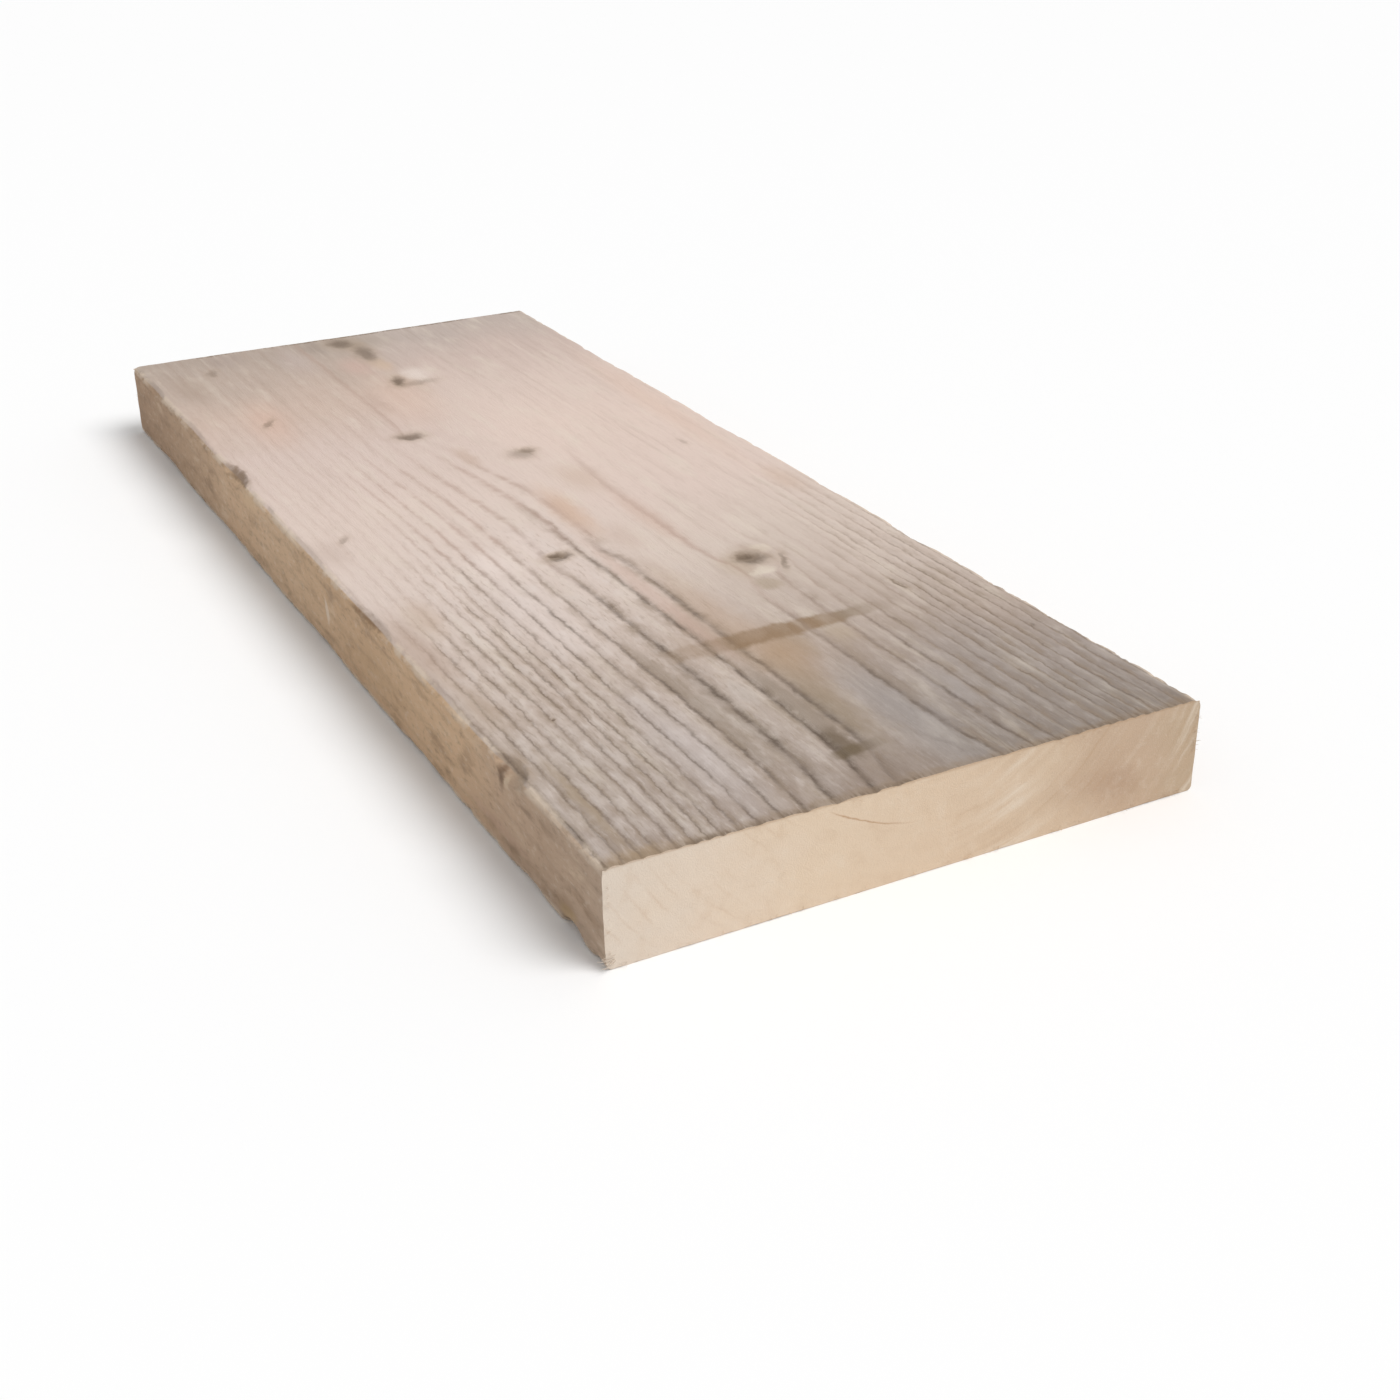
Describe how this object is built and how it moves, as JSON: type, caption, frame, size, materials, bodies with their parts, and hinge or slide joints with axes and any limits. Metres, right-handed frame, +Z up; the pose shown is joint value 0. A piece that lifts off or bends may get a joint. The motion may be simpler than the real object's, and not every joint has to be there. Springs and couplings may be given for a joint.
{
  "type": "timber lumber plank",
  "caption": "Short reclaimed softwood board with raised weathered grain, knots, worn long edges and clean square-sawn ends.",
  "frame": {"origin": "middle of the board's length and width, on the face that it lies on", "axes": "+X across the width, +Y along the grain, +Z up through the thickness; the near sawn end faces -Y"},
  "size_m": [0.195, 0.5, 0.031],
  "materials": {
    "weathered_softwood": "matte"
  },
  "bodies": {
    "root": {"plank": "weathered_softwood"}
  },
  "joints": []
}
